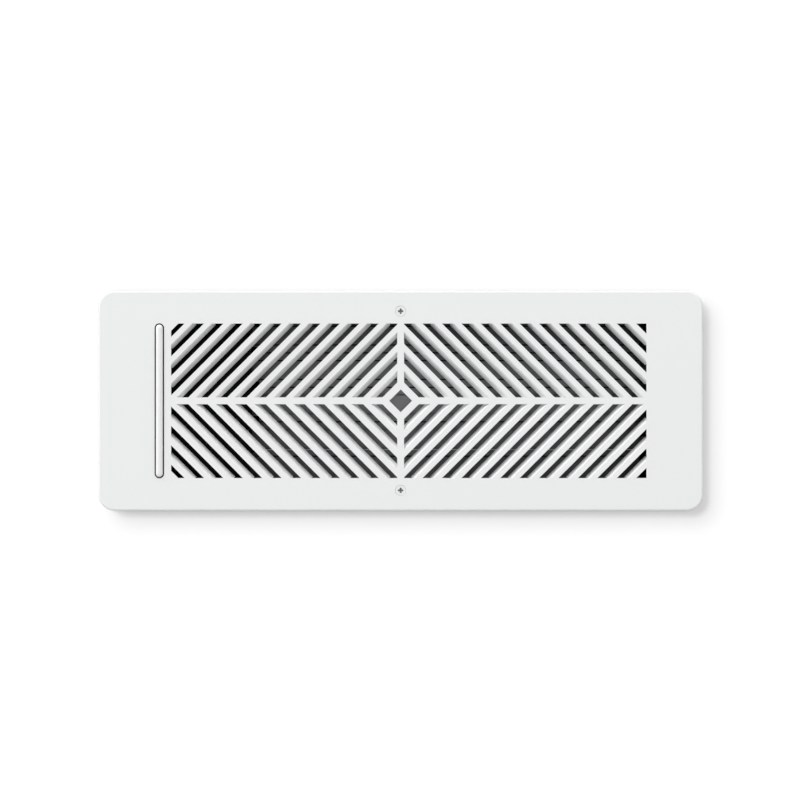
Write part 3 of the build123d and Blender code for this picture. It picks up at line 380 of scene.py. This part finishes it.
# Circuit board and diode board: glass epoxy laminate under green solder mask.
# The weave shows faintly through the mask, and copper under it gives slightly paler strips.
# The motor's connector on the board is moulded in black plastic like the chassis.
laminate, shader = new_material("glass_epoxy_solder_mask", {"Roughness": 0.28, "IOR": 1.55})
weave_pitch = 0.6 * mm
weave_depth = 0.02 * mm
track_pitch = 2.2 * mm
place = add_node(laminate, "TexCoord", {}, {})
tracks = add_node(laminate, "TexBrick", {"offset": 0.37}, {"Vector": place.outputs["Object"],
                                                          "Scale": 1 / track_pitch,
                                                          "Color1": linear("#14472A"),
                                                          "Color2": linear("#1B5A36"),
                                                          "Mortar": linear("#0F3A22"), "Mortar Size": 0.12,
                                                          "Brick Width": 3.0, "Row Height": 0.6})
link(laminate, tracks.outputs["Color"], shader, "Base Color")
weave = add_node(laminate, "TexChecker", {}, {"Vector": place.outputs["Object"], "Scale": 1 / weave_pitch})
relief = add_node(laminate, "Bump", {}, {"Height": weave.outputs["Fac"], "Strength": 0.15,
                                         "Distance": weave_depth})
link(laminate, relief.outputs["Normal"], shader, "Normal")
dress(laminate, frame["nodes"]["circuit_board"], frame["nodes"]["led_board"])
dress(abs_black, frame["nodes"]["motor_connector"])

# Light-emitting diodes: eight small packages along the diode board.
# Silicone filled with yellow phosphor, which looks pale yellow when it is off.
phosphor, shader = new_material("silicone_phosphor_cast", {"Roughness": 0.35, "IOR": 1.41})
phosphor_grain = 0.1 * mm
place = add_node(phosphor, "TexCoord", {}, {})
specks = add_node(phosphor, "TexNoise", {}, {"Vector": place.outputs["Object"], "Scale": 1 / phosphor_grain})
tint = add_node(phosphor, "ValToRGB", {}, {"Fac": specks.outputs["Fac"]})
tint.color_ramp.elements[0].color = linear("#E3D68C")
tint.color_ramp.elements[1].color = linear("#F4ECB8")
link(phosphor, tint.outputs["Color"], shader, "Base Color")
dress(phosphor, frame["nodes"]["leds"])

# Compartment cover: the front of the closed compartment, close behind the left end of the grille.
# Black ABS with a deep spark texture that traps light, so nothing of it shows between the vanes.
abs_light_trap, shader = new_material("abs_black_deep_textured", {"Roughness": 0.9, "IOR": 1.53,
                                                                  "Specular IOR Level": 0.08})
cover_edge = 0.25 * mm
deep_pit = 0.6 * mm
deep_pit_depth = 0.06 * mm
place = add_node(abs_light_trap, "TexCoord", {}, {})
pits = add_node(abs_light_trap, "TexNoise", {}, {"Vector": place.outputs["Object"], "Scale": 1 / deep_pit,
                                                 "Detail": 3})
tint = add_node(abs_light_trap, "ValToRGB", {}, {"Fac": pits.outputs["Fac"]})
tint.color_ramp.elements[0].color = linear("#0B0B0C")
tint.color_ramp.elements[1].color = linear("#141415")
link(abs_light_trap, tint.outputs["Color"], shader, "Base Color")
relief = add_node(abs_light_trap, "Bump", {}, {"Height": pits.outputs["Fac"], "Strength": 0.7,
                                               "Distance": deep_pit_depth})
link(abs_light_trap, relief.outputs["Normal"], shader, "Normal")
cover = softened("compartment_cover", cover_edge, "housing")
dress(abs_light_trap, cover)

# Light bar: the crowned light pipe in the slot of the plate.
# Opal polycarbonate, moulded with a polished crown: milky, with light that sinks in about a millimetre.
opal, shader = new_material("polycarbonate_opal_moulded", {"Roughness": 0.32, "IOR": 1.58,
                                                           "Subsurface Weight": 0.12,
                                                           "Subsurface Radius": (1.0, 0.97, 0.92),
                                                           "Subsurface Scale": 0.9 * mm})
milk_cloud = 2 * mm
place = add_node(opal, "TexCoord", {}, {})
clouds = add_node(opal, "TexNoise", {}, {"Vector": place.outputs["Object"], "Scale": 1 / milk_cloud,
                                         "Detail": 3})
tint = add_node(opal, "ValToRGB", {}, {"Fac": clouds.outputs["Fac"]})
tint.color_ramp.elements[0].color = linear("#E6E6E7")
tint.color_ramp.elements[1].color = linear("#EDEDEE")
link(opal, tint.outputs["Color"], shader, "Base Color")
dress(opal, frame["nodes"]["light_bar"])

# Light bar seal: the thin ring between the bar and its slot, with a thin lip on it that hooks over the edge of the
# slot.
# Black silicone rubber, moulded, with a dull skin; its black is painted shade, standing for the dark gap round the
# bar.
gap_shade_silicone, shader = new_material("silicone_black_gap_shade", {"IOR": 1.41, "Specular IOR Level": 0.1})
rubber_bloom = 1.5 * mm
seal_fit = 0.05 * mm             # between the seal and the slot
lip_profile = ((-0.03, -0.45), (-0.03, -0.15), (0.13, 0.0), (0.13, 0.03), (0.1, 0.06), (-0.1, 0.06),
               (-0.15, 0.0), (-0.15, -0.45))     # mm out from the slot's edge, and up from the plate's face
arc_steps = 24                   # round each end of the slot
place = add_node(gap_shade_silicone, "TexCoord", {}, {})
bloom = add_node(gap_shade_silicone, "TexNoise", {}, {"Vector": place.outputs["Object"], "Scale": 1 / rubber_bloom})
tint = add_node(gap_shade_silicone, "ValToRGB", {}, {"Fac": bloom.outputs["Fac"]})
tint.color_ramp.elements[0].color = linear("#0E0E0F")
tint.color_ramp.elements[1].color = linear("#161617")
link(gap_shade_silicone, tint.outputs["Color"], shader, "Base Color")
dull = add_node(gap_shade_silicone, "MapRange", {}, {"Value": bloom.outputs["Fac"], "To Min": 0.6, "To Max": 0.75})
link(gap_shade_silicone, dull.outputs["Result"], shader, "Roughness")
dress(gap_shade_silicone, frame["nodes"]["light_bar_seal"])
seal_low, seal_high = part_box("light_bar_seal")
seal_middle = (seal_low + seal_high) / 2
slot_radius = seal_high.x - seal_middle.x + seal_fit
slot_run = seal_high.y - seal_middle.y + seal_fit - slot_radius
face_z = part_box("faceplate")[1].z
lip_form = bmesh.new()
sections = []
for end, first_angle in ((slot_run, 0), (-slot_run, math.pi)):
    for step in range(arc_steps + 1):
        angle = first_angle + math.pi * step / arc_steps
        outward = Vector((math.cos(angle), math.sin(angle), 0))
        on_axis = Vector((seal_middle.x, seal_middle.y + end, face_z))
        sections.append([lip_form.verts.new(on_axis + outward * (slot_radius + out * mm)
                                            + Vector((0, 0, up * mm))) for out, up in lip_profile])
for section, following in zip(sections, sections[1:] + sections[:1]):
    for corner in range(len(lip_profile)):
        lip_form.faces.new((section[corner - 1], section[corner], following[corner], following[corner - 1]))
bmesh.ops.recalc_face_normals(lip_form, faces=lip_form.faces)
lip_mesh = bpy.data.meshes.new("light_bar_seal_lip")
lip_form.to_mesh(lip_mesh)
lip_form.free()
lip = bpy.data.objects.new("light_bar_seal_lip", lip_mesh)
bpy.context.scene.collection.objects.link(lip)
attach(lip, "housing")
dress(gap_shade_silicone, lip)

# Faceplate: the front, with its rim, skin, vanes and spines in one piece.
# Die-cast aluminium in satin white powder coat, whose film rounds the edges and has a faint orange peel.
powder_white, shader = new_material("powder_coat_white_satin", {"IOR": 1.5, "Specular IOR Level": 0.2})
plate_edge = 0.15 * mm
orange_peel = 1.1 * mm
peel_depth = 0.02 * mm
film_speck = 0.5 * mm
place = add_node(powder_white, "TexCoord", {}, {})
peel = add_node(powder_white, "TexNoise", {}, {"Vector": place.outputs["Object"], "Scale": 1 / orange_peel,
                                               "Detail": 2})
specks = add_node(powder_white, "TexNoise", {}, {"Vector": place.outputs["Object"], "Scale": 1 / film_speck,
                                                 "Detail": 4})
tint = add_node(powder_white, "ValToRGB", {}, {"Fac": specks.outputs["Fac"]})
tint.color_ramp.elements[0].position = 0.3
tint.color_ramp.elements[0].color = linear("#E8E9E9")
tint.color_ramp.elements[1].position = 0.7
tint.color_ramp.elements[1].color = linear("#EDEEEE")
link(powder_white, tint.outputs["Color"], shader, "Base Color")
dull = add_node(powder_white, "MapRange", {}, {"Value": specks.outputs["Fac"], "To Min": 0.52,
                                               "To Max": 0.68})
link(powder_white, dull.outputs["Result"], shader, "Roughness")
relief = add_node(powder_white, "Bump", {}, {"Height": peel.outputs["Fac"], "Strength": 0.35,
                                             "Distance": peel_depth})
link(powder_white, relief.outputs["Normal"], shader, "Normal")
faceplate = softened("faceplate", plate_edge, "housing")
dress(powder_white, faceplate)

# Face screws: two countersunk cross-head screws that hold the plate to the chassis.
# Steel, painted white on the head. Painted shade: the driver's cross and the rim of the head are coloured grey,
# standing for the shade in the recess and in the gap round the head.
painted_steel, shader = new_material("steel_white_head_painted_shade", {"IOR": 1.5, "Specular IOR Level": 0.2})
paint_depth = 0.12 * mm          # how far the paint reaches down into the cross
shaded_rim = 0.12 * mm
paint_speck = 0.5 * mm
screws_low, screws_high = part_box("faceplate_screws")
head_radius = (screws_high.x - screws_low.x) / 2
screw_axis = ((screws_low.x + screws_high.x) / 2, screws_high.y - head_radius, 0)
place = add_node(painted_steel, "TexCoord", {}, {})
split = add_node(painted_steel, "SeparateXYZ", {}, {"Vector": place.outputs["Object"]})
either = add_node(painted_steel, "Math", {"operation": "ABSOLUTE"}, {0: split.outputs["Y"]})
across = add_node(painted_steel, "CombineXYZ", {}, {"X": split.outputs["X"], "Y": either.outputs["Value"]})
radius = add_node(painted_steel, "VectorMath", {"operation": "DISTANCE"}, {0: across.outputs["Vector"],
                                                                          1: screw_axis})
inside = add_node(painted_steel, "Math", {"operation": "LESS_THAN"}, {0: radius.outputs["Value"],
                                                                     1: head_radius - shaded_rim})
on_top = add_node(painted_steel, "Math", {"operation": "GREATER_THAN"}, {0: split.outputs["Z"],
                                                                       1: screws_high.z - paint_depth})
on_head = add_node(painted_steel, "Math", {"operation": "MULTIPLY"}, {0: inside.outputs["Value"],
                                                                     1: on_top.outputs["Value"]})
specks = add_node(painted_steel, "TexNoise", {}, {"Vector": place.outputs["Object"], "Scale": 1 / paint_speck})
paint = add_node(painted_steel, "ValToRGB", {}, {"Fac": specks.outputs["Fac"]})
paint.color_ramp.elements[0].color = linear("#E6E7E7")
paint.color_ramp.elements[1].color = linear("#EBECEC")
painted_shade_grey = add_node(painted_steel, "ValToRGB", {}, {"Fac": specks.outputs["Fac"]})
painted_shade_grey.color_ramp.elements[0].color = linear("#929495")
painted_shade_grey.color_ramp.elements[1].color = linear("#A2A4A5")
tint = add_node(painted_steel, "MixRGB", {}, {"Fac": on_head.outputs["Value"],
                                              "Color1": painted_shade_grey.outputs["Color"],
                                              "Color2": paint.outputs["Color"]})
link(painted_steel, tint.outputs["Color"], shader, "Base Color")
dull = add_node(painted_steel, "MapRange", {}, {"Value": specks.outputs["Fac"], "To Min": 0.45,
                                                "To Max": 0.6})
link(painted_steel, dull.outputs["Result"], shader, "Roughness")
dress(painted_steel, frame["nodes"]["faceplate_screws"])

# Studio floor: a white matt board, just under the chassis.
# It is seen as white where nothing shades it, and the shadow lamps further down draw the soft shadow on it.
floor_half = 4.0
floor_gap = 0.05 * mm
board_share = 0.04               # the part of the lamps' light that the seen board gives back
board_glow = 0.285               # of the board as it is seen
bounce_glow = 0.25               # of the board as a source of light
floor_z = cad_box[0].z - floor_gap
floor_mesh = bpy.data.meshes.new("studio_floor")
floor_mesh.from_pydata([(-floor_half, -floor_half, floor_z), (floor_half, -floor_half, floor_z),
                        (floor_half, floor_half, floor_z), (-floor_half, floor_half, floor_z)], [],
                       [(0, 1, 2, 3)])
floor = bpy.data.objects.new("studio_floor", floor_mesh)
bpy.context.scene.collection.objects.link(floor)
floor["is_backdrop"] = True
board = new_material("board_white_matt", {})[0]
rays = add_node(board, "LightPath", {}, {})
camera_or_gloss = add_node(board, "Math", {"operation": "MAXIMUM"}, {0: rays.outputs["Is Camera Ray"],
                                                                    1: rays.outputs["Is Glossy Ray"]})
seen = add_node(board, "Math", {"operation": "MAXIMUM"}, {0: camera_or_gloss.outputs["Value"],
                                                          1: rays.outputs["Is Transmission Ray"]})
shaded = add_node(board, "BsdfDiffuse", {}, {"Color": even(board_share)})
lit = add_node(board, "Emission", {}, {"Color": linear("#FFFFFF"), "Strength": board_glow})
seen_board = add_node(board, "AddShader", {}, {0: shaded.outputs["BSDF"], 1: lit.outputs["Emission"]})
bounce = add_node(board, "Emission", {}, {"Color": linear("#FFFFFF"), "Strength": bounce_glow})
mixed = add_node(board, "MixShader", {}, {0: seen.outputs["Value"], 1: bounce.outputs["Emission"],
                                          2: seen_board.outputs["Shader"]})
link(board, mixed.outputs["Shader"], board.node_tree.nodes["Material Output"], "Surface")
dress(board, floor)

# Duct mouth: a black sheet that closes the open bay from below.
# It is painted shade, standing for the dark inside of the duct; it gives nearly nothing back.
mouth_rise = 0.3 * mm            # above the floor
mouth_margin = 1 * mm            # into the foot of the bay's walls
mottle_size = 0.8 * mm
bay_low, bay_high = (Vector(corner) for corner in frame["record"]["physics"]["openings"][0]["box_m"])
mouth_z = floor_z + mouth_rise
mouth_left, mouth_front = bay_low.x - mouth_margin, bay_low.y - mouth_margin
mouth_right, mouth_rear = bay_high.x + mouth_margin, bay_high.y + mouth_margin
mouth_mesh = bpy.data.meshes.new("duct_mouth")
mouth_mesh.from_pydata([(mouth_left, mouth_front, mouth_z), (mouth_right, mouth_front, mouth_z),
                        (mouth_right, mouth_rear, mouth_z), (mouth_left, mouth_rear, mouth_z)], [],
                       [(0, 1, 2, 3)])
mouth = bpy.data.objects.new("duct_mouth", mouth_mesh)
bpy.context.scene.collection.objects.link(mouth)
mouth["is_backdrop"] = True
duct_shade, shader = new_material("duct_shade_black", {"Roughness": 1.0, "Specular IOR Level": 0.0})
place = add_node(duct_shade, "TexCoord", {}, {})
mottle = add_node(duct_shade, "TexNoise", {}, {"Vector": place.outputs["Object"], "Scale": 1 / mottle_size})
tint = add_node(duct_shade, "ValToRGB", {}, {"Fac": mottle.outputs["Fac"]})
tint.color_ramp.elements[0].color = linear("#060606")
tint.color_ramp.elements[1].color = linear("#0E0E0E")
link(duct_shade, tint.outputs["Color"], shader, "Base Color")
dress(duct_shade, mouth)

# Shadow lamps: three sources that light the floor alone. One straight above draws a faint line round the
# plate, and a small and a broad one at the upper left cast the core and the soft rim of its shadow.
floor_only = bpy.data.collections.new("lit_by_shadow_lamps")
floor_only.objects.link(floor)
for name, right, down, width, brightness in (("shadow_line", 0.0, 0.0, 5.0, 0.3),
                                             ("shadow_core", 0.1, 0.075, 4.0, 0.165),
                                             ("shadow_rim", 0.155, 0.145, 18.0, 0.25)):
    lamp = bpy.data.objects.new(name, bpy.data.lights.new(name, "SUN"))
    bpy.context.scene.collection.objects.link(lamp)
    lamp.data.angle = math.radians(width)
    lamp.data.energy = brightness * math.pi / board_share
    lamp.rotation_mode = "QUATERNION"
    lamp.rotation_quaternion = Vector((right, -down, -1)).to_track_quat("-Z", "Y")
    lamp.light_linking.receiver_collection = floor_only

# Softboxes: the key light at the upper left of the plate, a side light at its upper right and a weak fill
# light at its lower left. They are far off and broad, so that the plate is lit evenly, and light the
# object alone.
softbox_distance = 6.0
softbox_size = 4.0
lit_objects = bpy.data.collections.new("lit_by_softboxes")
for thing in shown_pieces():
    lit_objects.objects.link(thing)
for name, azimuth, elevation, energy in (("key_softbox", 130, 25, 284), ("side_softbox", 50, 30, 122),
                                         ("fill_softbox", 235, 30, 58)):
    softbox = bpy.data.objects.new(name, bpy.data.lights.new(name, "AREA"))
    bpy.context.scene.collection.objects.link(softbox)
    softbox.data.size = softbox_size
    softbox.data.energy = energy
    level = math.cos(math.radians(elevation))
    toward = Vector((math.cos(math.radians(azimuth)) * level, math.sin(math.radians(azimuth)) * level,
                     math.sin(math.radians(elevation))))
    softbox.location = toward * softbox_distance
    softbox.rotation_mode = "QUATERNION"
    softbox.rotation_quaternion = (-toward).to_track_quat("-Z", "Y")
    softbox.visible_camera = False
    softbox.light_linking.receiver_collection = lit_objects

# Room: pale light from all round, strongest low down where the walls are lit and weak from the ceiling.
# To the camera, in reflections and through clear things it is plain white.
wall_light = 1.35
ceiling_light = 0.05
seen_light = 1.0
room = bpy.data.worlds.new("studio_room")
room.use_nodes = True
bpy.context.scene.world = room
background = room.node_tree.nodes["Background"]
rays = add_node(room, "LightPath", {}, {})
camera_or_gloss = add_node(room, "Math", {"operation": "MAXIMUM"}, {0: rays.outputs["Is Camera Ray"],
                                                                   1: rays.outputs["Is Glossy Ray"]})
seen = add_node(room, "Math", {"operation": "MAXIMUM"}, {0: camera_or_gloss.outputs["Value"],
                                                         1: rays.outputs["Is Transmission Ray"]})
place = add_node(room, "TexCoord", {}, {})
split = add_node(room, "SeparateXYZ", {}, {"Vector": place.outputs["Generated"]})
height = add_node(room, "MapRange", {}, {"Value": split.outputs["Z"], "To Min": wall_light,
                                         "To Max": ceiling_light})
strength = add_node(room, "MapRange", {}, {"Value": seen.outputs["Value"], "To Min": height.outputs["Result"],
                                           "To Max": seen_light})
link(room, strength.outputs["Result"], background, "Strength")
background.inputs["Color"].default_value = linear("#FFFFFF")

# Camera: straight above the plate on a long lens, as in the photograph.
# It is set a little to the upper left of the plate's centre, because the plate lies a little off the
# photograph's.
view_width = 466 * mm
camera_height = 6.0              # above the plate's face
camera_shift = (-0.38 * mm, 0.47 * mm)
sensor_width = 36
camera = bpy.data.objects.new("camera", bpy.data.cameras.new("camera"))
bpy.context.scene.collection.objects.link(camera)
camera.location = (*camera_shift, face_z + camera_height)
camera.data.sensor_width = sensor_width
camera.data.lens = sensor_width * camera_height / view_width
bpy.context.scene.camera = camera
bpy.context.scene.view_settings.view_transform = "Standard"
